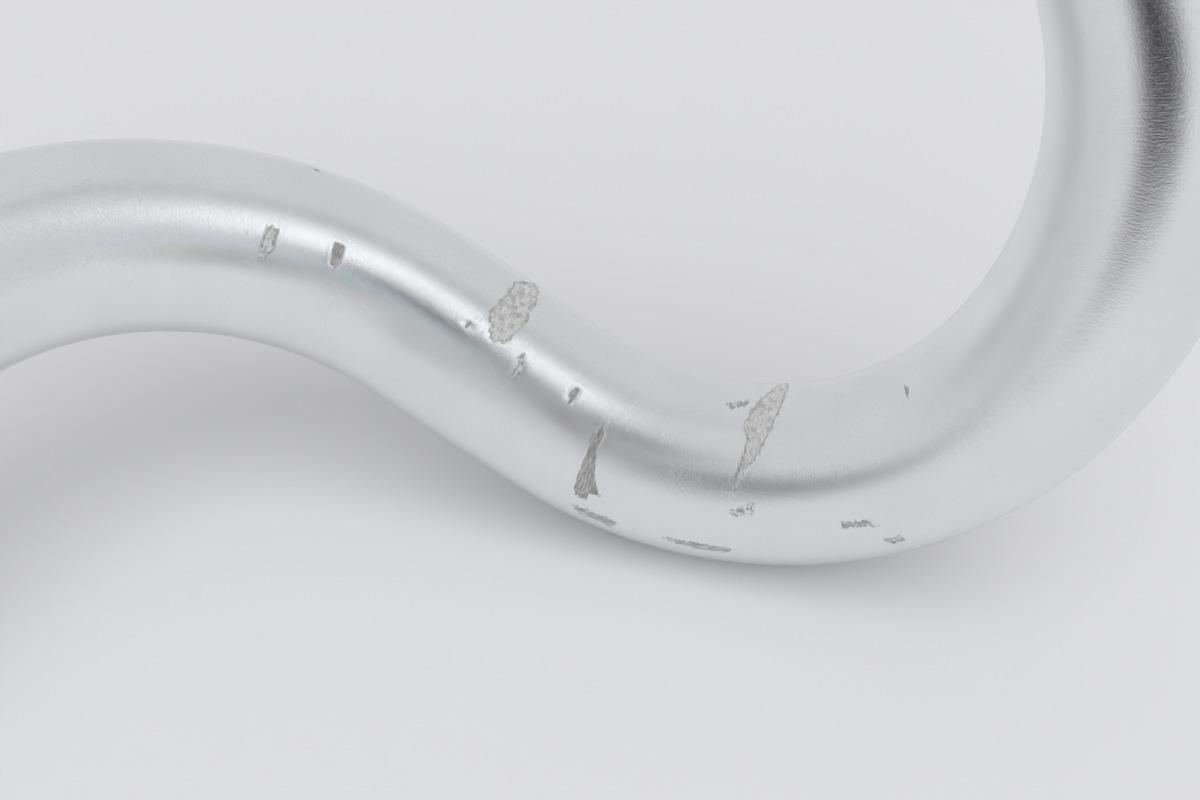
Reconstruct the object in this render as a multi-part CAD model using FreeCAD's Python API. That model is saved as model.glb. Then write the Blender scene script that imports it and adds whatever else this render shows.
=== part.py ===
import FreeCAD, Part
import math
import os
from FreeCAD import Matrix, Placement, Rotation, Vector

# Drop handlebar, in millimetres. It lies as it rests on a table, upside down: on both hooks and on
# the centre sleeve. The origin is the middle of the stem clamp, +X runs along the clamp's axis,
# +Y is forward, the way the hooks point, and +Z is up. The table is at z = -sleeve_radius.

# Handlebar tube
tube_radius = 11.9
tube_wall = 2.0
bar_width = 400.0               # hook to hook, centre to centre
clamp_run = 55.0                # straight tube each side of the middle
top_bend_radius = 110.0
top_rise = 17.2                 # degrees the tops rise from the table
top_sweep = 4.0                 # degrees the tops sweep forward
corner_radius = 50.0
ramp_slope = 28.0               # degrees the ramps fall towards the hooks
ramp_run = 22.0
hook_radius = 43.0
hook_turn = 92.0                # degrees
heel_radius = 57.0
heel_turn = 80.0                # degrees
drop_run = 78.0
end_chamfer = 0.4

# Centre sleeve, pressed on the tube
sleeve_radius = 13.0
sleeve_half = 50.0
sleeve_groove_at = 44.0
sleeve_groove_width = 1.6
sleeve_groove_depth = 0.45
sleeve_taper = 2.0
sleeve_lip = 0.35               # wall left at the sleeve's ends

# Expanding end plugs, along their own axis: z = 0 at the tube's end face, +z out of the bar
bore_radius = tube_radius - tube_wall
slip = 0.06                     # radial clearance of what slides in the bore or on the screw
cap_radius = 11.8
cap_height = 3.2
cap_edge = 1.3
cap_gap = 0.05
spigot_depth = 8.0
washer_thickness = 0.8
washer_radius = 4.4
screw_radius = 2.5
screw_head_radius = 4.25
screw_head_height = 4.6
screw_length = 30.0
socket_across_flats = 4.0
socket_depth = 2.6
counterbore_radius = 4.6
counterbore_floor = -3.3
hole_radius = 2.7
expander_length = 16.0
expander_bore = 3.4
expander_cone_length = 12.0
expander_mouth = 7.0
expander_slot = 1.6
expander_ribs = 4
rib_groove = 0.5
wedge_base_radius = 8.6
wedge_base_length = 4.6
wedge_gap = 0.3
key_width = 1.3


def unit(vector):
    return Vector(vector).normalize()


def slope(angle):
    """Direction in the YZ plane: forward at 0 degrees, straight up at 90."""
    turn = math.radians(angle)
    return Vector(0, math.cos(turn), math.sin(turn))


def turned(direction, toward, angle):
    """The direction turned by an angle, in degrees, towards a perpendicular one."""
    turn = math.radians(angle)
    return direction * math.cos(turn) + toward * math.sin(turn)


class Route:
    """A centre line of straight runs and tangent arcs, and the solids that follow it."""

    def __init__(self, start, direction):
        self.at = Vector(start)
        self.heading = unit(direction)
        self.steps = []

    def run(self, length):
        self.steps.append(("run", Vector(self.at), Vector(self.heading), length))
        self.at = self.at + self.heading * length

    def bend(self, radius, inward, angle):
        """Turns about a centre that lies along inward, which is perpendicular to the heading."""
        centre = self.at + inward * radius
        axis = self.heading.cross(inward)
        self.steps.append(("bend", Vector(self.at), Vector(self.heading), (centre, axis, angle)))
        self.at = centre + turned(inward * -1, self.heading, angle) * radius
        self.heading = turned(self.heading, inward, angle)

    def bend_to(self, radius, target):
        """Turns by the shortest way to face the target direction."""
        inward = unit(target - self.heading * target.dot(self.heading))
        angle = math.degrees(self.heading.getAngle(target))
        self.bend(radius, inward, angle)

    def solid(self, radius):
        """A round bar of this radius along the whole route."""
        parts = []
        for kind, at, heading, size in self.steps:
            disc = Part.Face(Part.Wire(Part.makeCircle(radius, at, heading)))
            if kind == "run":
                parts.append(disc.extrude(heading * size))
            else:
                centre, axis, angle = size
                parts.append(disc.revolve(centre, axis, angle))
        return parts[0].fuse(parts[1:]).removeSplitter()


def corner_width():
    """How far the top bend and the corner reach outwards, and how fast the straight tops do."""
    probe = Route(Vector(0, 0, 0), Vector(-1, 0, 0))
    probe.bend_to(top_bend_radius, tops_direction())
    outward = -probe.heading.x
    probe.bend_to(corner_radius, slope(-ramp_slope))
    return -probe.at.x, outward


def tops_direction():
    rise = math.radians(top_rise)
    sweep = math.radians(top_sweep)
    level = math.cos(rise)
    return Vector(-level * math.cos(sweep), level * math.sin(sweep), math.sin(rise))


def half_route():
    """The left half's centre line, from the middle of the clamp to the end of the drop."""
    bends, outward = corner_width()
    top_run = (bar_width / 2 - clamp_run - bends) / outward
    route = Route(Vector(0, 0, 0), Vector(-1, 0, 0))
    route.run(clamp_run)
    route.bend_to(top_bend_radius, tops_direction())
    route.run(top_run)
    route.bend_to(corner_radius, slope(-ramp_slope))
    route.run(ramp_run)
    route.bend(hook_radius, slope(90 - ramp_slope), hook_turn)
    route.bend(heel_radius, slope(90 - ramp_slope + hook_turn), heel_turn)
    route.run(drop_run)
    return route


def mirrored(shape):
    return shape.mirror(Vector(0, 0, 0), Vector(1, 0, 0))


def lathe(outline, axis=Vector(0, 0, 1)):
    """A solid turned from an outline of (radius, height) points about the Z or X axis."""
    if axis.x:
        points = [Vector(height, radius, 0) for radius, height in outline]
    else:
        points = [Vector(radius, 0, height) for radius, height in outline]
    face = Part.Face(Part.makePolygon(points + points[:1]))
    return face.revolve(Vector(0, 0, 0), axis, 360)


def rod(radius, low, high):
    return Part.makeCylinder(radius, high - low, Vector(0, 0, low))


def bar_tube(route):
    outer = route.solid(tube_radius)
    outer = outer.fuse(mirrored(outer)).removeSplitter()
    inner = route.solid(bore_radius)
    inner = inner.fuse(mirrored(inner)).removeSplitter()
    tube = outer.cut(inner)
    rims = []
    for edge in tube.Edges:
        to_end = abs((edge.CenterOfMass - route.at).dot(route.heading))
        if edge.Closed and to_end < 0.01 and edge.Length > 2 * math.pi * tube_radius - 0.1:
            rims.append(edge)
    return tube.makeChamfer(end_chamfer, rims)


def centre_sleeve():
    groove = sleeve_radius - sleeve_groove_depth
    half = [
        (sleeve_radius, sleeve_groove_at - sleeve_groove_width / 2),
        (groove, sleeve_groove_at - sleeve_groove_width / 4),
        (groove, sleeve_groove_at + sleeve_groove_width / 4),
        (sleeve_radius, sleeve_groove_at + sleeve_groove_width / 2),
        (sleeve_radius, sleeve_half - sleeve_taper),
        (tube_radius + sleeve_lip, sleeve_half),
        (tube_radius, sleeve_half),
    ]
    other_half = [(radius, -along) for radius, along in reversed(half)]
    return lathe(half + other_half, Vector(1, 0, 0))


def plug_cap():
    flange = rod(cap_radius, cap_gap, cap_height)
    top = [edge for edge in flange.Edges if edge.Closed and edge.CenterOfMass.z > cap_height - 0.01]
    flange = flange.makeFillet(cap_edge, top)
    body = flange.fuse(rod(bore_radius - slip, -spigot_depth, cap_gap)).removeSplitter()
    body = body.cut(rod(counterbore_radius, counterbore_floor, cap_height + 1))
    return body.cut(rod(hole_radius, -spigot_depth - 1, counterbore_floor + 1))


def plug_washer():
    top = counterbore_floor + washer_thickness
    return rod(washer_radius, counterbore_floor, top).cut(rod(hole_radius, counterbore_floor, top))


def plug_screw():
    seat = counterbore_floor + washer_thickness + cap_gap
    crown = seat + screw_head_height
    head = rod(screw_head_radius, seat, crown)
    top = [edge for edge in head.Edges if edge.Closed and edge.CenterOfMass.z > crown - 0.01]
    head = head.makeFillet(0.5, top)
    corner = socket_across_flats / math.sqrt(3)
    points = []
    for step in range(7):
        turn = math.radians(60 * step)
        points.append(Vector(corner * math.cos(turn), corner * math.sin(turn), crown - socket_depth))
    socket = Part.Face(Part.makePolygon(points)).extrude(Vector(0, 0, socket_depth + 1))
    shank = rod(screw_radius, seat - screw_length, seat)
    tip = [edge for edge in shank.Edges if edge.Closed and edge.CenterOfMass.z < seat - screw_length + 0.01]
    shank = shank.makeChamfer(0.6, tip)
    return head.fuse(shank).removeSplitter().cut(socket)


def plug_expander():
    top = -spigot_depth
    bottom = top - expander_length
    mouth = bottom + expander_cone_length
    body = rod(bore_radius - slip, bottom, top).cut(rod(expander_bore, mouth - 0.5, top + 1))
    body = body.cut(lathe([(0, bottom), (expander_mouth, bottom), (expander_bore, mouth), (0, mouth)]))
    pitch = expander_length / (expander_ribs + 1)
    for rib in range(expander_ribs):
        middle = top - pitch * (rib + 1)
        ring = rod(tube_radius, middle - rib_groove, middle + rib_groove)
        body = body.cut(ring.cut(rod(bore_radius - slip - rib_groove, middle - 1, middle + 1)))
    corner = Vector(0, -expander_slot / 2, bottom - 1)
    return body.cut(Part.makeBox(tube_radius, expander_slot, expander_length + 2, corner))


def plug_wedge():
    top = -spigot_depth - expander_length
    reach = expander_cone_length - 1.0
    steep = (expander_mouth - expander_bore) / expander_cone_length
    base_top = top - wedge_gap
    base = base_top - wedge_base_length
    foot = expander_mouth - slip
    body = lathe([
        (0, base),
        (wedge_base_radius - 0.8, base),
        (wedge_base_radius, base + 0.8),
        (wedge_base_radius, base_top),
        (foot, base_top),
        (foot, top),
        (foot - steep * reach, top + reach),
        (0, top + reach),
    ])
    key_length = reach * 0.75
    corner = Vector(screw_radius + 1, -key_width / 2, base_top)
    key = Part.makeBox(wedge_base_radius - screw_radius - 1.3, key_width, key_length, corner)
    body = body.fuse(key).removeSplitter()
    return body.cut(rod(screw_radius + slip, base - 1, top + reach + 1))


def save(name, shape):
    assert shape.isValid(), name
    shape.exportStep("parts/" + name + ".step")
    low, high = shape.BoundBox.ZMin, shape.BoundBox.ZMax
    print(name, len(shape.Solids), "solid,", round(shape.Volume), "mm3, z", round(low, 2), round(high, 2))


def main():
    os.makedirs("parts", exist_ok=True)
    route = half_route()
    save("bar_tube", bar_tube(route))
    save("centre_sleeve", centre_sleeve())
    pieces = {
        "plug_cap": plug_cap(),
        "plug_washer": plug_washer(),
        "plug_screw": plug_screw(),
        "plug_expander": plug_expander(),
        "plug_wedge": plug_wedge(),
    }
    for side, sign in (("left", 1), ("right", -1)):
        end = Vector(sign * route.at.x, route.at.y, route.at.z)
        place = Placement(end, Rotation(Vector(0, 0, 1), route.heading))
        for name, shape in pieces.items():
            placed = shape.copy()
            placed.Placement = place
            save(side + "_" + name, placed)
    print("drop end", route.at, "heading", route.heading)


main()
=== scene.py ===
import math

import bmesh
import bpy
import numpy as np
from mathutils import Matrix, Quaternion, Vector, noise


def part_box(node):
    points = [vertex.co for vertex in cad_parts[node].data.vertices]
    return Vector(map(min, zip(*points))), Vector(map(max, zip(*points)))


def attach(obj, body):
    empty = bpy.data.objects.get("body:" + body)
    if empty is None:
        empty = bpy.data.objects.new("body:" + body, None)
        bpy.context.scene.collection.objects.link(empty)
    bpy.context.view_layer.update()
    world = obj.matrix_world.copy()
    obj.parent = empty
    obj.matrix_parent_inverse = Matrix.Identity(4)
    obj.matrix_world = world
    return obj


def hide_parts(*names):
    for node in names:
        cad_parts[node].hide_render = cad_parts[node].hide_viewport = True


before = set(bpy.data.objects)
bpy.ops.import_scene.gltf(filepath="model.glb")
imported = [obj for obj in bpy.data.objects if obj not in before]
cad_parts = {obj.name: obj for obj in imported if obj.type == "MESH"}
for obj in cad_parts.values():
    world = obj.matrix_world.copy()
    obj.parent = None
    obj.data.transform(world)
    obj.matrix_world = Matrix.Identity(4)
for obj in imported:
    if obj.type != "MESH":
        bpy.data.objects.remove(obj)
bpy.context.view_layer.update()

# Lengths are in millimetres until a piece is finished, and angles in degrees.
MM = 0.001

# Handlebar tube, as in the CAD part
TUBE = 11.9
BORE = 9.9
HALF_WIDTH = 200.0
CLAMP_RUN = 55.0
TOP_BEND, TOP_RISE, TOP_SWEEP = 110.0, 17.2, 4.0
CORNER = 50.0
RAMP_SLOPE, RAMP_RUN = 28.0, 22.0
HOOK, HOOK_TURN = 43.0, 92.0
HEEL, HEEL_TURN = 57.0, 80.0
DROP_RUN = 78.0
END_ROUNDING = 0.4

# Centre sleeve, as in the CAD part
SLEEVE, SLEEVE_HALF, SLEEVE_TAPER = 13.0, 50.0, 48.0
GROOVE_AT = 44.0

# End plug, along its own axis: 0 at the tube's end face, more than 0 outside the bar
SLIDING = 9.84                       # radius of what slides in the bore
CAP, CAP_TOP = 11.8, 3.2
COUNTERBORE, COUNTERBORE_FLOOR = 4.6, -3.3
WASHER, WASHER_TOP = 4.4, -2.5
SCREW, SCREW_HEAD, SCREW_HOLE = 2.5, 4.25, 2.7
CROWN, SEAT, TIP = 2.15, -2.45, -32.45
SOCKET_FLATS, SOCKET_DEPTH = 4.0, 2.6
THREAD_PITCH, THREAD_DEPTH, THREAD_RUNOUT = 0.8, 0.43, 6.0
SPIGOT_END, CONE_END, COLLAR_END = -8.0, -12.0, -24.0
COLLAR_BORE, COLLAR_MOUTH, COLLAR_RIBS, HALF_SLOT = 3.4, 7.0, 4, 0.8
NUT_BORE, NUT_BASE, NUT_FOOT, NUT_NOSE = 2.56, 8.6, 6.94, 3.64
NUT_BOTTOM, NUT_SHOULDER, NUT_TOP = -28.9, -24.3, -13.0

# How finely the skin is laid out
RING_SIDES = 44
BEND_PITCH, RUN_PITCH, BORE_PITCH = 2.6, 5.0, 7.0
WHOLE = 1e9                          # a pitch that leaves each run and bend in one piece
WORN_FROM, WORN_TO = -31.0, 148.0    # degrees round the tube that carry the marks
WORN_START, WORN_END = 206.0, 323.0  # and millimetres along its left side
SIDE_CUTS, LENGTH_CUTS = 5, 7


# ---------------------------------------------------------------- the tube's centre line

def slope(angle):
    """Direction in the YZ plane: forward at 0 degrees, straight up at 90."""
    turn = math.radians(angle)
    return Vector((0, math.cos(turn), math.sin(turn)))


def tops_direction():
    rise, sweep = math.radians(TOP_RISE), math.radians(TOP_SWEEP)
    level = math.cos(rise)
    return Vector((-level * math.cos(sweep), level * math.sin(sweep), math.sin(rise)))


def corner_axis(heading, target):
    return heading.cross(target).normalized(), math.degrees(heading.angle(target))


def half_route():
    """The left half's runs and bends: ("run", length) or ("bend", radius, axis, degrees)."""
    start, tops, ramp = Vector((-1, 0, 0)), tops_direction(), slope(-RAMP_SLOPE)
    steps = [("run", CLAMP_RUN)]
    steps.append(("bend", TOP_BEND, *corner_axis(start, tops)))
    steps.append(("run", 0.0))
    steps.append(("bend", CORNER, *corner_axis(tops, ramp)))
    steps.append(("run", RAMP_RUN))
    sideways = Vector((1, 0, 0))
    steps.append(("bend", HOOK, sideways, HOOK_TURN))
    steps.append(("bend", HEEL, sideways, HEEL_TURN))
    steps.append(("run", DROP_RUN))
    reach = -walk(steps)[-1].at.x
    steps[2] = ("run", (HALF_WIDTH - reach) / -tops.x)
    return steps


class Stop:
    """A place on the centre line: how far along it is, and the turn of the tube there."""

    def __init__(self, along, at, turn):
        self.along, self.at, self.turn = along, at, turn

    def moved(self, step, done):
        """The place this much further along a run or a bend."""
        facing = self.turn @ Vector((-1, 0, 0))
        if step[0] == "run":
            return Stop(self.along + done, self.at + facing * done, self.turn)
        _, radius, axis, _ = step
        spin = Quaternion(axis, done / radius)
        centre = self.at + axis.cross(facing) * radius
        return Stop(self.along + done, centre + spin @ (self.at - centre), spin @ self.turn)


def step_length(step):
    return step[1] if step[0] == "run" else step[1] * math.radians(step[3])


def walk(steps, bend_pitch=WHOLE, run_pitch=WHOLE):
    """Stops along the route, about one pitch apart, and always one where a run or a bend ends."""
    stops = [Stop(0.0, Vector((0, 0, 0)), Quaternion())]
    for step in steps:
        start, length = stops[-1], step_length(step)
        hops = max(1, round(length / (run_pitch if step[0] == "run" else bend_pitch)))
        if length > 0:
            stops += [start.moved(step, length * hop / hops) for hop in range(1, hops + 1)]
    return stops


def stop_at(along):
    here = Stop(0.0, Vector((0, 0, 0)), Quaternion())
    for step in ROUTE:
        length = step_length(step)
        if along <= here.along + length:
            return here.moved(step, along - here.along)
        here = here.moved(step, length)
    return here


ROUTE = half_route()
DROP_END = walk(ROUTE)[-1]
END_FACING = DROP_END.turn @ Vector((-1, 0, 0))


# ---------------------------------------------------------------- marks of wear
# A place on the tube is (mm along it from the middle, degrees round it): 0 is the top as it lies
# on the table, 90 the front. Gouges and rubs run round the tube, as clamps and straps leave them.

GOUGES = [
    [(219.4, 47), (220.8, 48), (220.9, 56), (220.3, 62), (219.6, 60)],
    [(255.3, 47), (256.1, 48), (256.2, 55), (255.8, 60), (255.3, 55)],
    [(261.7, 59), (262.7, 64), (262.9, 76), (263.4, 84), (264.0, 91), (265.8, 103), (264.4, 105),
     (264.3, 111), (262.8, 111), (262.1, 98), (261.8, 86), (261.5, 69)],
    [(214.4, -10), (216.0, -5), (215.8, -9)],
    [(240.4, 48), (239.9, 56), (239.5, 53)],
    [(311.9, 32), (312.6, 36), (312.1, 43)],
]
FLAYED = [
    [(241.9, 7), (244.4, -15), (245.4, 1), (245.9, 31), (245.1, 50), (243.2, 54), (241.3, 39), (241.7, 24)],
    [(287.0, 2), (288.6, -22), (289.9, -4), (289.6, 22), (288.3, 38), (286.4, 54), (284.9, 62),
     (283.8, 72), (282.9, 76), (283.2, 69), (284.0, 59), (284.6, 45), (283.6, 36), (284.7, 22)],
    [(247.3, 49), (248.0, 50), (248.8, 58), (248.5, 67), (247.8, 62)],
    [(210.4, 49), (211.8, 50), (211.6, 62), (210.4, 71), (209.6, 66)],
]
RUBS = [
    [(263.0, 121), (266.2, 120), (268.9, 121), (268.2, 129), (264.0, 129)],
    [(274.2, 121), (279.0, 119), (283.0, 121), (281.6, 126), (276.6, 126)],
    [(280.0, 19), (283.9, 15), (283.2, 20), (280.8, 23)],
    [(282.5, 89), (284.9, 87), (284.7, 91), (282.9, 92)],
    [(285.2, 84), (285.9, 84), (285.9, 90), (285.3, 90)],
    [(296.6, 100), (300.4, 103), (300.6, 107), (297.0, 105)],
    [(300.6, 121), (302.6, 122), (302.4, 129), (301.0, 128)],
]
# Each kind's name on the skin, outlines, depth of the cut and height of the lip thrown up round it
MARKS = (("gouge", GOUGES, 0.17, 0.02), ("flayed", FLAYED, 0.09, 0.02), ("rub", RUBS, 0.02, 0.0))
FAR_OUTSIDE = -9.0
CUT_STARTS, CUT_SLOPE = -0.1, 0.5    # where a cut begins, below 0 outside the outline, and its slope
LIP_AT, LIP_WIDTH = -0.32, 0.22
SLIGHT = 0.004                       # a change of height too small to make


def unrolled(outline):
    """Places on the tube as plain millimetres along it and round it."""
    return np.array([(along, math.radians(around) * TUBE) for along, around in outline])


def inside_by(outline, points):
    """How far each point lies inside the outline, in mm, and below zero outside it."""
    corners = unrolled(outline)
    nearest = np.full(len(points), 1e9)
    inside = np.zeros(len(points), bool)
    for a, b in zip(corners, np.roll(corners, -1, axis=0)):
        edge, reach = b - a, points - a
        share = np.clip(reach @ edge / (edge @ edge), 0, 1)
        nearest = np.minimum(nearest, np.linalg.norm(reach - share[:, None] * edge, axis=1))
        crosses = (a[1] > points[:, 1]) != (b[1] > points[:, 1])
        rise = edge[1] if abs(edge[1]) > 1e-9 else 1e-9
        inside ^= crosses & (points[:, 0] < a[0] + (points[:, 1] - a[1]) / rise * edge[0])
    return np.where(inside, nearest, -nearest)


def deepest(outlines, points):
    return np.max([inside_by(outline, points) for outline in outlines], axis=0)


# ---------------------------------------------------------------- small mesh helpers

def finish(bm, name):
    """Closes the working mesh into an object, in metres, with its faces outwards."""
    bmesh.ops.remove_doubles(bm, verts=bm.verts, dist=1e-4)
    bmesh.ops.recalc_face_normals(bm, faces=bm.faces)
    bmesh.ops.scale(bm, vec=Vector((MM, MM, MM)), verts=bm.verts)
    for face in bm.faces:
        face.smooth = True
    mesh = bpy.data.meshes.new(name)
    bm.to_mesh(mesh)
    bm.free()
    piece = bpy.data.objects.new(name, mesh)
    bpy.context.scene.collection.objects.link(piece)
    return piece


# ---------------------------------------------------------------- the handlebar tube

def base_ring(bm, radius, around):
    """A ring at the middle of the bar. Its around layer holds each vertex's turn from the top."""
    made = bmesh.ops.create_circle(bm, segments=RING_SIDES, radius=radius)
    verts = made["verts"]
    bmesh.ops.rotate(bm, verts=verts, cent=(0, 0, 0), matrix=Matrix.Rotation(math.pi / 2, 3, "Y"))
    for vert in verts:
        vert[around] = math.degrees(math.atan2(vert.co.y, vert.co.z))
    return list({edge for vert in verts for edge in vert.link_edges})


def sweep(bm, edges, stops, along, side):
    """Draws a ring out along the stops, one ring at a time. side is 1 for the left, -1 for the right."""
    for before, after in zip(stops, stops[1:]):
        made = bmesh.ops.extrude_edge_only(bm, edges=edges)["geom"]
        verts = [item for item in made if isinstance(item, bmesh.types.BMVert)]
        edges = [item for item in made if isinstance(item, bmesh.types.BMEdge)]
        turn = mirrored_turn(after.turn @ before.turn.inverted(), side)
        here, there = mirrored_point(before.at, side), mirrored_point(after.at, side)
        bmesh.ops.rotate(bm, verts=verts, cent=here, matrix=turn.to_matrix())
        bmesh.ops.translate(bm, verts=verts, vec=there - here)
        for vert in verts:
            vert[along] = after.along * side
    return edges


def mirrored_point(point, side):
    return Vector((point.x * side, point.y, point.z))


def mirrored_turn(turn, side):
    return Quaternion((turn.w, turn.x, turn.y * side, turn.z * side))


def refine(bm, around, along):
    """More faces where the marks are, each new vertex then set back on the true round of the tube."""
    def marked_side(edge):
        first, last = (vert[around] for vert in edge.verts)
        return abs(first - last) > 1 and min(first, last) > WORN_FROM and max(first, last) < WORN_TO

    def marked_length(edge):
        first, last = (vert[along] for vert in edge.verts)
        return abs(first - last) > 0.1 and min(first, last) > WORN_START and max(first, last) < WORN_END

    for marked, cuts in ((marked_side, SIDE_CUTS), (marked_length, LENGTH_CUTS)):
        edges = [edge for edge in bm.edges if marked(edge)]
        bmesh.ops.subdivide_edges(bm, edges=edges, cuts=cuts, use_grid_fill=True)
    stops = {}
    for vert in bm.verts:
        place = round(abs(vert[along]), 4)
        if place not in stops:
            stops[place] = stop_at(place)
        stop, side = stops[place], math.copysign(1, vert[along])
        turn = math.radians(vert[around])
        spoke = stop.turn @ Vector((0, math.sin(turn), math.cos(turn)))
        vert.co = mirrored_point(stop.at + spoke * TUBE, side)


def wall(radius, bend_pitch, run_pitch):
    """One wall of the tube, open at both ends."""
    bm = bmesh.new()
    around = bm.verts.layers.float.new("around")
    along = bm.verts.layers.float.new("along")
    stops = walk(ROUTE, bend_pitch, run_pitch)
    middle = base_ring(bm, radius, around)
    sweep(bm, middle, stops, along, 1)
    sweep(bm, middle, stops, along, -1)
    return bm, around, along


def tube_skin():
    """The whole tube as one closed shell: outer wall, rims and bore."""
    bore = bpy.data.meshes.new("bore")
    inner, _, _ = wall(BORE, BORE_PITCH, BORE_PITCH)
    inner.to_mesh(bore)
    inner.free()
    bm, around, along = wall(TUBE, BEND_PITCH, RUN_PITCH)
    refine(bm, around, along)
    rims = [edge for edge in bm.edges if edge.is_boundary]
    bm.from_mesh(bore)
    for side in (1, -1):
        ends = [edge for edge in bm.edges if edge.is_boundary and edge.verts[0].co.x * side < 0]
        bmesh.ops.bridge_loops(bm, edges=ends)
    bmesh.ops.bevel(bm, geom=rims, offset=END_ROUNDING, offset_type="OFFSET", segments=3, profile=0.5,
                    affect="EDGES", material=-1)
    piece = finish(bm, "bar_skin")
    wear_tube(piece.data)
    return piece


def read_layer(mesh, name):
    values = np.zeros(len(mesh.vertices), np.float32)
    mesh.attributes[name].data.foreach_get("value", values)
    return values


def read_vectors(data, field):
    values = np.zeros(len(data) * 3, np.float32)
    data.foreach_get(field, values)
    return values.reshape(-1, 3)


def write_layer(mesh, name, values, kind="FLOAT", field="value"):
    layer = mesh.attributes.get(name) or mesh.attributes.new(name, kind, "POINT")
    layer.data.foreach_set(field, np.asarray(values, np.float32).ravel())


def wear_tube(mesh):
    """Cuts the marks into the skin, and leaves on it what the finish needs to know."""
    along, around = read_layer(mesh, "along"), np.radians(read_layer(mesh, "around"))
    where = np.stack([along, around * TUBE], axis=1)
    straight = np.stack([along, np.sin(around) * TUBE, np.cos(around) * TUBE], axis=1)
    write_layer(mesh, "straight", straight, "FLOAT_VECTOR", "vector")
    near = np.flatnonzero((along > WORN_START) & (along < WORN_END))
    co = read_vectors(mesh.vertices, "co")
    normal = read_vectors(mesh.vertex_normals, "vector")
    sink = np.zeros(len(near))
    for name, outlines, depth, lip in MARKS:
        field = np.full(len(mesh.vertices), FAR_OUTSIDE)
        field[near] = deepest(outlines, where[near])
        write_layer(mesh, name, np.maximum(field, FAR_OUTSIDE))
        reach = np.clip((field[near] - CUT_STARTS) / CUT_SLOPE, 0, 1)
        ridge = np.exp(-((field[near] - LIP_AT) / LIP_WIDTH) ** 2)
        sink += depth * reach * reach * (3 - 2 * reach) - lip * ridge
    for index, fall in zip(near, sink):
        if abs(fall) > SLIGHT:
            spot = Vector((along[index] * 1.6, around[index] * TUBE * 0.5, 3.0))
            rough = 1 + 0.55 * noise.noise(spot) + 0.35 * noise.noise(spot * 2.7)
            co[index] -= normal[index] * fall * rough * MM
    mesh.vertices.foreach_set("co", co.ravel())
    mesh.update()


# ---------------------------------------------------------------- turned pieces
# These are made about their own axis, z, and then placed. Their "turned" layer holds height plus
# radius first, and then the place across the axis, so that rings of tool marks can follow it.

def spun(outline, sides, closed=True, degrees=360.0):
    """A skin turned about z from an outline of (radius, height) corners."""
    bm = bmesh.new()
    corners = [bm.verts.new((radius, 0, height)) for radius, height in outline]
    lines = [bm.edges.new(pair) for pair in zip(corners, corners[1:] + corners[:1 if closed else 0])]
    full = degrees == 360.0
    geom = corners + lines
    if not full:
        geom = [bm.faces.new(corners)] + geom
        bmesh.ops.rotate(bm, verts=corners, cent=(0, 0, 0),
                         matrix=Matrix.Rotation(math.radians(360 - degrees) / 2, 3, "Z"))
    bmesh.ops.spin(bm, geom=geom, cent=(0, 0, 0), axis=(0, 0, 1), angle=math.radians(degrees),
                   steps=sides, use_merge=full)
    bmesh.ops.remove_doubles(bm, verts=bm.verts, dist=1e-4)
    return bm


def soften(bm, offset, sharp=30.0):
    """Rounds every edge that turns more sharply than this many degrees."""
    bmesh.ops.recalc_face_normals(bm, faces=bm.faces)
    edges = [edge for edge in bm.edges
             if len(edge.link_faces) == 2 and math.degrees(edge.calc_face_angle()) > sharp]
    bmesh.ops.bevel(bm, geom=edges, offset=offset, offset_type="OFFSET", segments=2, profile=0.5,
                    affect="EDGES", material=-1, clamp_overlap=True)


def placed(bm, name, place):
    """Leaves the "turned" layer on a piece, then puts it where it belongs."""
    turned = bm.verts.layers.float_vector.new("turned")
    for vert in bm.verts:
        radius = math.hypot(vert.co.x, vert.co.y)
        vert[turned] = Vector((vert.co.z + radius, vert.co.x, vert.co.y))
    bmesh.ops.transform(bm, matrix=place, verts=bm.verts)
    return finish(bm, name)


def sleeve_skin():
    """The ferrule on the middle of the bar, with its two grooves and tapered ends."""
    half = [(SLEEVE, GROOVE_AT - 0.8), (SLEEVE - 0.28, GROOVE_AT - 0.45), (SLEEVE - 0.42, GROOVE_AT),
            (SLEEVE - 0.28, GROOVE_AT + 0.45), (SLEEVE, GROOVE_AT + 0.8), (SLEEVE, SLEEVE_TAPER),
            (12.28, SLEEVE_HALF - 0.1), (12.2, SLEEVE_HALF), (TUBE, SLEEVE_HALF)]
    outline = half + [(radius, -height) for radius, height in reversed(half)]
    bm = spun(outline, 128)
    soften(bm, 0.10, 14.0)
    return placed(bm, "sleeve_skin", Matrix.Rotation(math.pi / 2, 4, "Y"))


def plug_place(side):
    """From a plug's own axis to the open end of the left (1) or right (-1) drop."""
    lean = Vector((0, 0, 1)).rotation_difference(END_FACING).to_matrix().to_4x4()
    return Matrix.Translation(mirrored_point(DROP_END.at, side)) @ lean


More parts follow.
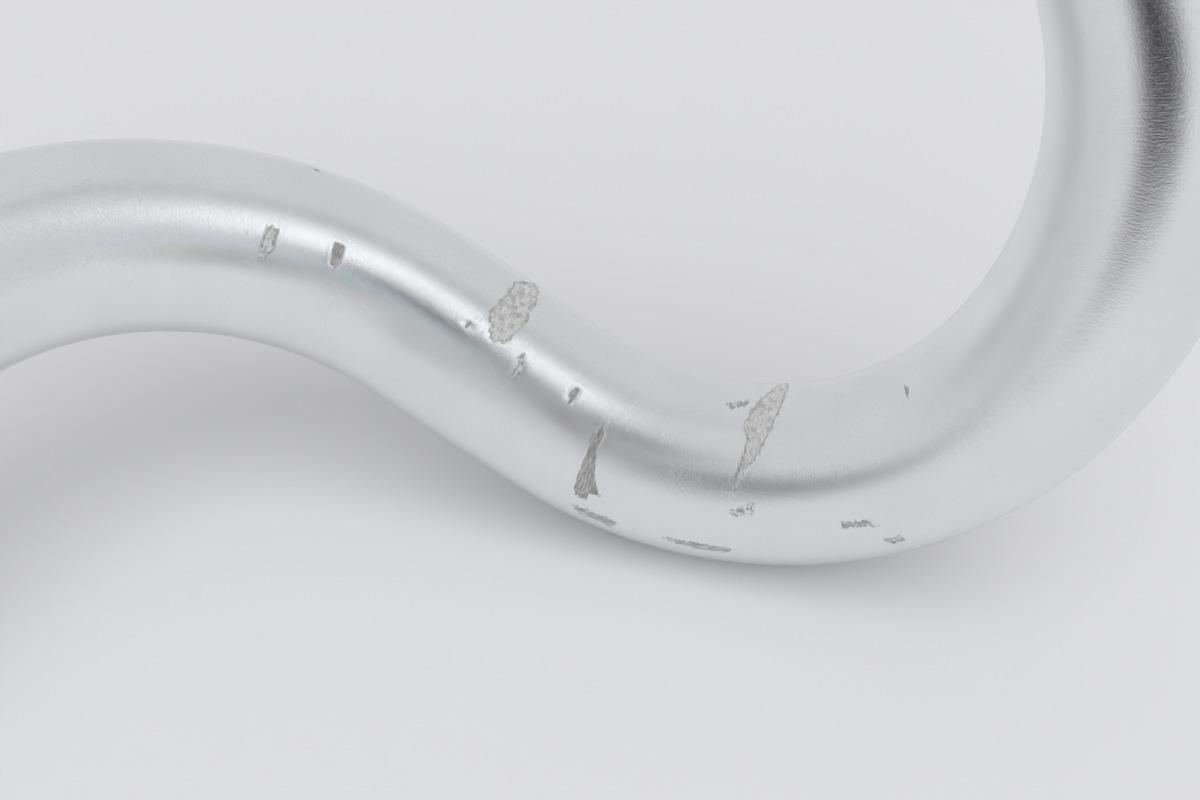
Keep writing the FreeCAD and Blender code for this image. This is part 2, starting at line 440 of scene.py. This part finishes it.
def cap_skin(side_name, place):
    """The moulded cap: a domed flange with a ring groove, a counterbore and a ribbed spigot."""
    flange = [(SLIDING, 0.05), (CAP, 0.05), (CAP, 1.9), (11.68, 2.45), (11.30, 2.88), (10.75, 3.12)]
    face = [(10.2, CAP_TOP), (8.5, CAP_TOP), (8.3, 2.95), (7.9, 2.95), (7.7, CAP_TOP), (5.0, CAP_TOP)]
    inside = [(COUNTERBORE, 2.8), (COUNTERBORE, COUNTERBORE_FLOOR), (SCREW_HOLE, COUNTERBORE_FLOOR)]
    spigot = [(SCREW_HOLE, SPIGOT_END), (9.3, SPIGOT_END), (SLIDING, -7.4)]
    flutes, flute_depth = 12, 0.10
    bm = spun(flange + face + inside + spigot, 96)
    soften(bm, 0.12, 35.0)
    for vert in bm.verts:
        turn = math.atan2(vert.co.y, vert.co.x)
        if -7.2 < vert.co.z < 0.0 and math.hypot(vert.co.x, vert.co.y) > 9.7:
            dip = flute_depth * max(0.0, math.cos(flutes * turn)) ** 2
            vert.co.xy *= 1 - dip / SLIDING
    return placed(bm, side_name + "_cap_skin", place)


def washer_skin(side_name, place):
    bm = spun([(WASHER, COUNTERBORE_FLOOR), (WASHER, WASHER_TOP), (SCREW_HOLE, WASHER_TOP),
               (SCREW_HOLE, COUNTERBORE_FLOOR)], 64)
    soften(bm, 0.12)
    return placed(bm, side_name + "_washer_skin", place)


def cut_thread(vert, radius, turn, low, high):
    """Sinks a point of the shank into the thread's groove, which fades out at its top."""
    if low <= vert.co.z < high - 0.01 and radius > SCREW - 0.1:
        phase = (vert.co.z / THREAD_PITCH + turn / (2 * math.pi)) % 1.0
        groove = max(0.0, 1 - abs(phase - 0.5) / 0.42)
        fade = min(1.0, (high - vert.co.z) / THREAD_PITCH)
        vert.co.xy *= 1 - THREAD_DEPTH * groove * fade / SCREW


def drawn_up(bm, edges, height):
    """Draws a loop of edges up into a wall, and gives the loop at its top."""
    made = bmesh.ops.extrude_edge_only(bm, edges=edges)["geom"]
    loop = [item for item in made if isinstance(item, bmesh.types.BMEdge)]
    verts = list({vert for edge in loop for vert in edge.verts})
    bmesh.ops.translate(bm, verts=verts, vec=(0, 0, height))
    return loop, verts


def hexagon_socket(bm):
    """A hexagon hole with a dished floor and a chamfered mouth, open where it meets the crown."""
    chamfer, flare, dish = 0.15, 1.07, 0.5
    made = bmesh.ops.create_circle(bm, cap_ends=True, segments=6, radius=SOCKET_FLATS / math.sqrt(3))
    socket = made["verts"]
    bmesh.ops.translate(bm, verts=socket, vec=(0, 0, CROWN - SOCKET_DEPTH))
    walls = list({edge for vert in socket for edge in vert.link_edges})
    floor = list({face for vert in socket for face in vert.link_faces})
    mouth, _ = drawn_up(bm, walls, SOCKET_DEPTH - chamfer)
    mouth, verts = drawn_up(bm, mouth, chamfer)
    bmesh.ops.scale(bm, verts=verts, vec=(flare, flare, 1))
    poked = bmesh.ops.poke(bm, faces=floor)["verts"]
    bmesh.ops.translate(bm, verts=poked, vec=(0, 0, -dish))
    return mouth


def screw_skin(side_name, place):
    """Socket-head screw: knurled head, hexagon socket and a cut thread."""
    sides, rows, knurl = 72, 180, 0.968
    low, high = TIP + 0.7, SEAT - THREAD_RUNOUT
    head = [(3.55, CROWN), (3.85, CROWN - 0.06), (4.1, CROWN - 0.2), (4.22, CROWN - 0.45),
            (SCREW_HEAD, CROWN - 0.7), (SCREW_HEAD, SEAT + 0.8), (SCREW_HEAD, SEAT + 0.35), (4.0, SEAT)]
    shank = [(SCREW, high - (high - low) * row / rows) for row in range(rows + 1)]
    bm = spun(head + [(SCREW, SEAT)] + shank + [(2.0, TIP), (0.0, TIP)], sides, closed=False)
    bmesh.ops.remove_doubles(bm, verts=bm.verts, dist=1e-3)
    for vert in bm.verts:
        radius, turn = math.hypot(vert.co.x, vert.co.y), math.atan2(vert.co.y, vert.co.x)
        column = round(turn / (2 * math.pi) * sides)
        if SEAT + 0.7 < vert.co.z < CROWN - 0.6 and radius > SCREW_HEAD - 0.05 and column % 2:
            vert.co.xy *= knurl
        cut_thread(vert, radius, turn, low, high)
    rim = [edge for edge in bm.edges if edge.is_boundary]
    bmesh.ops.bridge_loops(bm, edges=rim + hexagon_socket(bm))
    return placed(bm, side_name + "_screw_skin", place)


def expander_skin(side_name, place):
    """The ribbed rubber collar, split along its length."""
    outer, top, bottom = SLIDING, SPIGOT_END, COLLAR_END
    outline = [(COLLAR_BORE, top), (outer - 0.3, top), (outer, top - 0.3)]
    for rib in range(1, COLLAR_RIBS + 1):
        middle = top - (top - bottom) / (COLLAR_RIBS + 1) * rib
        outline += [(outer, middle + 0.5), (outer - 0.5, middle + 0.35), (outer - 0.5, middle - 0.35),
                    (outer, middle - 0.5)]
    outline += [(outer, bottom + 0.3), (outer - 0.3, bottom), (COLLAR_MOUTH, bottom),
                (COLLAR_BORE, CONE_END)]
    gap = math.degrees(HALF_SLOT / outer) * 2
    bm = spun(outline, 90, degrees=360.0 - gap)
    for vert in bm.verts:
        radius, turn = math.hypot(vert.co.x, vert.co.y), math.atan2(vert.co.y, vert.co.x)
        if abs(math.degrees(turn)) < gap / 2 + 0.1:
            vert.co.x = math.sqrt(radius ** 2 - HALF_SLOT ** 2)
            vert.co.y = math.copysign(HALF_SLOT, turn)
    soften(bm, 0.12, 40.0)
    return placed(bm, side_name + "_expander_skin", place)


def wedge_skin(side_name, place):
    """The tapered nut, with the key that keeps it from turning in the collar's slot."""
    outline = [(NUT_BORE, NUT_BOTTOM), (NUT_BASE - 0.8, NUT_BOTTOM), (NUT_BASE, NUT_BOTTOM + 0.8),
               (NUT_BASE, NUT_SHOULDER), (NUT_FOOT, NUT_SHOULDER), (NUT_FOOT, COLLAR_END),
               (NUT_NOSE, NUT_TOP), (NUT_BORE, NUT_TOP)]
    key_size, key_middle = (4.8, 1.3, 8.35), (5.9, 0, -20.225)
    bm = spun(outline, 96)
    soften(bm, 0.15, 40.0)
    body = placed(bm, side_name + "_wedge_skin", Matrix.Identity(4))
    bm = bmesh.new()
    bmesh.ops.create_cube(bm, size=1.0)
    bmesh.ops.scale(bm, verts=bm.verts, vec=key_size)
    bmesh.ops.translate(bm, verts=bm.verts, vec=key_middle)
    soften(bm, 0.15)
    key = placed(bm, side_name + "_wedge_key", Matrix.Identity(4))
    join = body.modifiers.new("key", "BOOLEAN")
    join.operation, join.solver, join.object = "UNION", "EXACT", key
    joined = bpy.data.meshes.new_from_object(body.evaluated_get(bpy.context.evaluated_depsgraph_get()))
    for spare in (body, key):
        bpy.data.objects.remove(spare)
    bm = bmesh.new()
    bm.from_mesh(joined)
    bmesh.ops.scale(bm, verts=bm.verts, vec=(1 / MM, 1 / MM, 1 / MM))
    bm.verts.layers.float_vector.remove(bm.verts.layers.float_vector["turned"])
    return placed(bm, side_name + "_wedge_skin", place)


# ---------------------------------------------------------------- shader sums written as expressions

class Sheet:
    """One material's nodes. shader() gives its main shader, and node() adds any other node."""

    def __init__(self, name):
        self.material = bpy.data.materials.new(name)
        self.material.use_nodes = True
        self.tree = self.material.node_tree
        self.main = self.tree.nodes["Principled BSDF"]

    def node(self, kind, settings=None, inputs=None, output=0):
        made = self.tree.nodes.new(kind)
        for key, value in (settings or {}).items():
            setattr(made, key, value)
        for key, value in (inputs or {}).items():
            self.feed(made.inputs[key], value)
        return Wire(self, made.outputs[output])

    def feed(self, socket, value):
        if isinstance(value, Wire):
            self.tree.links.new(value.socket, socket)
        else:
            socket.default_value = value

    def shader(self, **inputs):
        """Sets the main shader's sockets, named with _ for a space."""
        for key, value in inputs.items():
            self.feed(self.main.inputs[key.replace("_", " ")], value)

    def math(self, operation, *values):
        return self.node("ShaderNodeMath", {"operation": operation}, dict(enumerate(values)))

    def attribute(self, name, output="Fac"):
        return self.node("ShaderNodeAttribute", {"attribute_name": name}, output=output)

    def stretch(self, vector, x, y, z):
        return self.node("ShaderNodeVectorMath", {"operation": "MULTIPLY"}, {0: vector, 1: (x, y, z)})

    def noise(self, vector, scale, detail, roughness):
        return self.node("ShaderNodeTexNoise", None, {
            "Vector": vector, "Scale": scale, "Detail": detail, "Roughness": roughness})

    def cells(self, vector, scale):
        return self.node("ShaderNodeTexVoronoi", None, {"Vector": vector, "Scale": scale})

    def mix(self, share, first, second):
        """Between two colours."""
        return self.node("ShaderNodeMix", {"data_type": "RGBA"}, {0: share, 6: first, 7: second}, output=2)

    def bump(self, height, distance):
        return self.node("ShaderNodeBump", None, {"Height": height, "Distance": distance})


class Wire:
    """A socket that can be added, multiplied and so on as if it were a number."""

    def __init__(self, sheet, socket):
        self.sheet, self.socket = sheet, socket

    def __add__(self, other):
        return self.sheet.math("ADD", self, other)

    def __sub__(self, other):
        return self.sheet.math("SUBTRACT", self, other)

    def __rsub__(self, other):
        return self.sheet.math("SUBTRACT", other, self)

    def __mul__(self, other):
        return self.sheet.math("MULTIPLY", self, other)

    __radd__ = __add__
    __rmul__ = __mul__

    def clamp(self):
        return self.sheet.node("ShaderNodeClamp", None, {"Value": self})

    def ease(self, low, high):
        """0 below low, 1 above high, and smooth between them."""
        return self.sheet.node("ShaderNodeMapRange", {"interpolation_type": "SMOOTHSTEP"},
                               {"Value": self, "From Min": low, "From Max": high})

    def over(self, other):
        return self.sheet.math("MAXIMUM", self, other)


def grey(value, warmth=0.0):
    """A grey, warmer than neutral above 0 and cooler below it."""
    return (value * (1 + warmth), value, value * (1 - warmth), 1)


# ---------------------------------------------------------------- materials

def satin_tube():
    """Satin anodised aluminium with its handling marks, gouges and rubbed places."""
    s = Sheet("satin_anodised_aluminium")
    laid = s.attribute("straight", "Vector")
    grain = s.noise(laid, 4.2, 4.0, 0.7)
    fine = s.noise(s.stretch(laid, 5.0, 0.9, 0.9), 1.0, 4.0, 0.7)
    cloud = s.noise(laid, 0.09, 3.0, 0.5)
    scuffs = s.noise(s.stretch(laid, 5.5, 0.75, 0.75), 1.0, 5.0, 0.7)
    patchy = s.noise(laid, 0.16, 2.0, 0.5).ease(0.54, 0.72)
    scuffed = scuffs.ease(0.55, 0.70) * patchy

    spread = s.node("ShaderNodeSeparateXYZ", None, {"Vector": laid}, output="X")
    near_clamp = spread.ease(237, 246) * (1 - spread.ease(268, 300))
    ragged = s.noise(s.stretch(laid, 2.6, 0.75, 0.75), 1.0, 6.0, 0.72) - 0.5
    fibre = s.noise(s.stretch(laid, 7.5, 0.9, 0.9), 1.0, 6.0, 0.72)
    broken = s.noise(laid, 1.1, 3.0, 0.6)
    gouge_field = s.attribute("gouge") + ragged * 1.5
    gouge = gouge_field.ease(-0.02, 0.08)
    flay_field = s.attribute("flayed") + ragged * 2.5
    flay = flay_field.ease(-0.02, 0.08)
    flay_rim = flay * (1 - flay_field.ease(0.08, 0.26)) * broken.ease(0.42, 0.54)
    strand = s.noise(s.stretch(laid, 2.4, 0.42, 0.42), 1.0, 3.0, 0.6)
    crack = 1 - s.math("ABSOLUTE", strand - 0.5).ease(0.004, 0.020)
    scrape = s.noise(s.stretch(laid, 1.1, 4.5, 4.5), 1.0, 5.0, 0.7)
    rub = (s.attribute("rub") + ragged * 2.6).ease(-0.15, 0.15) * scrape.ease(0.42, 0.56)

    clean = s.mix(cloud.ease(0.3, 0.7), grey(0.850, -0.014), grey(0.885, -0.010))
    clean = s.mix(grain.ease(0.42, 0.62) * 0.5, clean, grey(0.80))
    clean = s.mix(scuffed * 0.5, clean, grey(0.62))
    colour = s.mix(rub * 0.7, clean, grey(0.24, 0.03))
    torn = fibre.ease(0.36, 0.56) * broken.ease(0.32, 0.52)
    lifted = s.mix(torn, grey(0.62, 0.02), grey(0.97, 0.015))
    lifted = s.mix((flay_rim + crack * flay * 0.3).clamp() * 0.85, lifted, grey(0.24))
    colour = s.mix(flay, colour, lifted)
    colour = s.mix(gouge, colour, s.mix(fibre.ease(0.34, 0.60), grey(0.26), grey(0.68, 0.02)))

    worn = gouge.over(flay).over(rub)
    height = grain * 0.9 + fine * 0.8 + scuffed * -0.4 + worn * (fibre * 4.0)
    rough = 0.115 + cloud * 0.04 + grain * 0.03 + near_clamp * 0.09 + scuffed * 0.15 + worn * 0.28
    s.shader(
        Base_Color=colour,
        Metallic=1.0,
        Roughness=rough.clamp(),
        Normal=s.bump(height, 0.000022),
    )
    return s.material


def bright_alloy(name, tone=0.84, rough=0.16, lines=30.0):
    """Turned aluminium: fine rings round the axis, which the piece's "turned" layer carries."""
    s = Sheet(name)
    turned = s.attribute("turned", "Vector")
    rings = s.noise(s.stretch(turned, lines, 0.05, 0.05), 1.0, 4.0, 0.7)
    stain = s.noise(turned, 0.12, 3.0, 0.6)
    nicks = s.cells(s.stretch(turned, 0.9, 0.5, 0.5), 1.0).ease(0.02, 0.10)
    s.shader(
        Base_Color=s.mix(stain.ease(0.35, 0.75), grey(tone), grey(tone * 0.96)),
        Metallic=1.0,
        Roughness=(rough + stain * 0.08 + rings * 0.08 + (1 - nicks) * 0.2).clamp(),
        Normal=s.bump(rings * 0.6 + nicks * 0.8, 0.00001),
    )
    return s.material


def plated_steel():
    """Zinc-plated steel, faintly yellow and blue, with handling marks."""
    s = Sheet("zinc_plated_steel")
    turned = s.attribute("turned", "Vector")
    tint = s.noise(turned, 0.35, 3.0, 0.6)
    pits = s.noise(turned, 6.0, 3.0, 0.6)
    s.shader(
        Base_Color=s.mix(tint.ease(0.4, 0.65), (0.60, 0.58, 0.52, 1), (0.52, 0.55, 0.60, 1)),
        Metallic=1.0,
        Roughness=(0.24 + pits * 0.16).clamp(),
        Normal=s.bump(pits, 0.00001),
    )
    return s.material


def black_plastic():
    """Moulded black nylon with a fine spark-eroded grain, rubbed paler in patches."""
    s = Sheet("moulded_black_nylon")
    turned = s.attribute("turned", "Vector")
    grain = s.noise(turned, 3.5, 4.0, 0.7)
    handled = s.noise(turned, 0.3, 3.0, 0.6).ease(0.5, 0.8)
    s.shader(
        Base_Color=s.mix(handled * 0.5 + grain * 0.2, grey(0.016), grey(0.050)),
        Roughness=(0.42 + grain * 0.22 - handled * 0.08).clamp(),
        Normal=s.bump(grain, 0.00004),
    )
    return s.material


def black_rubber():
    """Moulded rubber, dusty and slightly greyed."""
    s = Sheet("moulded_black_rubber")
    turned = s.attribute("turned", "Vector")
    skin = s.noise(turned, 2.5, 4.0, 0.6)
    dust = s.noise(turned, 0.5, 4.0, 0.7).ease(0.45, 0.75)
    s.shader(
        Base_Color=s.mix(dust * 0.6, grey(0.014), grey(0.085, 0.03)),
        Roughness=(0.62 + dust * 0.25).clamp(),
        Normal=s.bump(skin, 0.00003),
    )
    return s.material


# ---------------------------------------------------------------- room, light and camera

BAR_SPOT = Vector((-0.19, 0.09, 0.02))    # the marked part of the bar, in metres, which the lights face
FLOOR_REACH = 60000.0
ROOM_COLOUR, ROOM_STRENGTH = (0.98, 0.985, 1.0, 1), 0.69
CARD_STRENGTH = 0.84
CAMERA_AT = Vector((-39.84, 116.38, 116.47))
CAMERA_TURN, CAMERA_DROP, CAMERA_TILT = 102.34, 33.89, -3.61
CAMERA_SENSOR, CAMERA_LENS, CAMERA_CLIP = 36.0, 45.0, 0.005


def studio():
    """A pale table without an end, in a room of even light that only the metal mirrors."""
    world = bpy.data.worlds.new("soft_room")
    world.use_nodes = True
    world.node_tree.nodes["Background"].inputs[0].default_value = ROOM_COLOUR
    world.node_tree.nodes["Background"].inputs[1].default_value = ROOM_STRENGTH
    world.cycles_visibility.diffuse = False
    bpy.context.scene.world = world

    bm = bmesh.new()
    bmesh.ops.create_grid(bm, x_segments=1, y_segments=1, size=FLOOR_REACH)
    bmesh.ops.translate(bm, verts=bm.verts, vec=(0, 0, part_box("centre_sleeve")[0].z / MM))
    floor = finish(bm, "pale_table")
    s = Sheet("pale_table")
    s.shader(Base_Color=(0.610, 0.615, 0.632, 1), Roughness=0.55, Specular_IOR_Level=0.3)
    floor.data.materials.append(s.material)


def compass(turn, lift):
    """A direction: degrees from +Y towards +X, and degrees up."""
    turn, lift = math.radians(turn), math.radians(lift)
    return Vector((math.sin(turn) * math.cos(lift), math.cos(turn) * math.cos(lift), math.sin(lift)))


def far(turn, lift, distance=0.5):
    """A place this many metres from the marked part of the bar."""
    return BAR_SPOT + compass(turn, lift) * distance


def facing_bar(item, place, tilt):
    away = (place - BAR_SPOT).to_track_quat("Z", "Y").to_matrix()
    item.matrix_world = Matrix.Translation(place) @ (away @ turned_by(tilt, "Z")).to_4x4()


def turned_by(degrees, axis):
    return Matrix.Rotation(math.radians(degrees), 3, axis)


def soft_light(name, turn, lift, width, height, power, colour, tilt=0.0):
    """An area light a metre from the marked part of the bar."""
    data = bpy.data.lights.new(name, "AREA")
    data.shape, data.size, data.size_y = "RECTANGLE", width, height
    data.energy, data.color = power, colour
    light = bpy.data.objects.new(name, data)
    bpy.context.scene.collection.objects.link(light)
    facing_bar(light, far(turn, lift, 1.0), tilt)


def card(name, place, width, height, colour, tilt=0.0):
    """A card that the metal mirrors and nothing else sees."""
    bm = bmesh.new()
    bmesh.ops.create_grid(bm, x_segments=1, y_segments=1, size=0.5)
    bmesh.ops.scale(bm, verts=bm.verts, vec=(width, height, 1))
    mesh = bpy.data.meshes.new(name)
    bm.to_mesh(mesh)
    bm.free()
    made = bpy.data.objects.new(name, mesh)
    bpy.context.scene.collection.objects.link(made)
    s = Sheet(name)
    s.shader(Base_Color=(0, 0, 0, 1), Roughness=1.0, Specular_IOR_Level=0.0, Emission_Color=(*colour, 1),
             Emission_Strength=CARD_STRENGTH)
    mesh.materials.append(s.material)
    facing_bar(made, Vector(place), tilt)
    made.visible_camera = False
    made.visible_diffuse = False
    made.visible_shadow = False
    return made


def fill(name, turn, lift, strength, spread, shadow=True):
    """A very soft sun that lights what is matt and leaves no glint in the metal."""
    data = bpy.data.lights.new(name, "SUN")
    data.energy, data.angle, data.color = strength, math.radians(spread), (1.0, 0.995, 0.985)
    data.use_shadow = shadow
    light = bpy.data.objects.new(name, data)
    bpy.context.scene.collection.objects.link(light)
    facing_bar(light, far(turn, lift, 1.0), 0.0)
    light.visible_glossy = False


def lights():
    """A window and soft fills, and cards for what the metal mirrors: sky, window and a dark camera."""
    soft_light("window", 38, 49, 0.17, 0.48, 0.24, (0.97, 0.985, 1.0), -30)
    fill("fill_above", 0, 89, 1.25, 150)
    fill("fill_round", 0, 89, 0.85, 60, shadow=False)
    fill("fill_front", 62, 50, 2.1, 70)
    card("window_foot", far(55, 30, 1.0), 0.15, 0.12, (0.92, 0.95, 1.0))
    card("window_sill", far(34, 24, 1.0), 0.30, 0.08, (0.58, 0.70, 0.90))
    card("overhead", far(150, 83, 1.0), 0.30, 0.30, (0.96, 0.96, 0.95))
    card("window_head", far(-4, 65, 1.0), 0.26, 0.16, (1.02, 1.02, 1.03), 20)
    card("camera_hood", far(69, 42), 0.160, 0.120, (0.02, 0.025, 0.04))
    card("camera_glass", far(71, 27), 0.120, 0.055, (0.18, 0.46, 0.55))
    card("camera_rim", far(79, 17), 0.036, 0.085, (0.30, 0.29, 0.28))
    card("camera_side", far(91, 44), 0.100, 0.120, (0.42, 0.44, 0.46), -40)
    card("camera_grip", far(103, 16), 0.120, 0.230, (0.17, 0.19, 0.22), -20)
    strap = card("camera_strap", (-0.098, 0.150, 0.034), 0.075, 0.040, (0.02, 0.02, 0.035))
    sleeve = card("camera_sleeve", (-0.095, 0.122, 0.040), 0.050, 0.060, (0.34, 0.32, 0.32))
    stand = (turned_by(59, "Z") @ turned_by(90, "X")).to_4x4()
    for standing in (strap, sleeve):
        standing.matrix_world = Matrix.Translation(standing.matrix_world.translation) @ stand


def camera():
    """Stands inside the bar's bow, close over the table, and looks at the left hook."""
    turn, drop, tilt = (math.radians(angle) for angle in (CAMERA_TURN, CAMERA_DROP, CAMERA_TILT))
    ahead = Vector((-math.sin(turn) * math.cos(drop), math.cos(turn) * math.cos(drop), -math.sin(drop)))
    level = ahead.cross(Vector((0, 0, 1))).normalized()
    below = ahead.cross(level)
    right = level * math.cos(tilt) + below * math.sin(tilt)
    up = level * math.sin(tilt) - below * math.cos(tilt)
    data = bpy.data.cameras.new("camera")
    data.sensor_width, data.lens, data.clip_start = CAMERA_SENSOR, CAMERA_LENS, CAMERA_CLIP
    view = bpy.data.objects.new("camera", data)
    view.matrix_world = Matrix.Translation(CAMERA_AT * MM) @ Matrix((right, up, -ahead)).transposed().to_4x4()
    bpy.context.scene.collection.objects.link(view)
    bpy.context.scene.camera = view


# ---------------------------------------------------------------- the scene

def fit(piece, material, body, node):
    """Gives a finished piece its material and its body, and hides the CAD node that it stands for."""
    piece.data.materials.clear()
    piece.data.materials.append(material)
    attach(piece, body)
    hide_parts(node)


bpy.context.scene.view_settings.view_transform = "Standard"
camera()
studio()
lights()

fit(tube_skin(), satin_tube(), "handlebar", "bar_tube")
fit(sleeve_skin(), bright_alloy("turned_bright_sleeve"), "handlebar", "centre_sleeve")

nylon, zinc, rubber = black_plastic(), plated_steel(), black_rubber()
wedge_alloy = bright_alloy("turned_alloy_wedge", 0.74, 0.28, 18.0)
for side_name, side in (("left", 1), ("right", -1)):
    place = plug_place(side)
    plug = side_name + "_plug"
    fit(cap_skin(side_name, place), nylon, plug, plug + "_cap")
    fit(washer_skin(side_name, place), zinc, plug, plug + "_washer")
    fit(screw_skin(side_name, place), zinc, side_name + "_screw", plug + "_screw")
    fit(expander_skin(side_name, place), rubber, plug, plug + "_expander")
    fit(wedge_skin(side_name, place), wedge_alloy, side_name + "_wedge", plug + "_wedge")
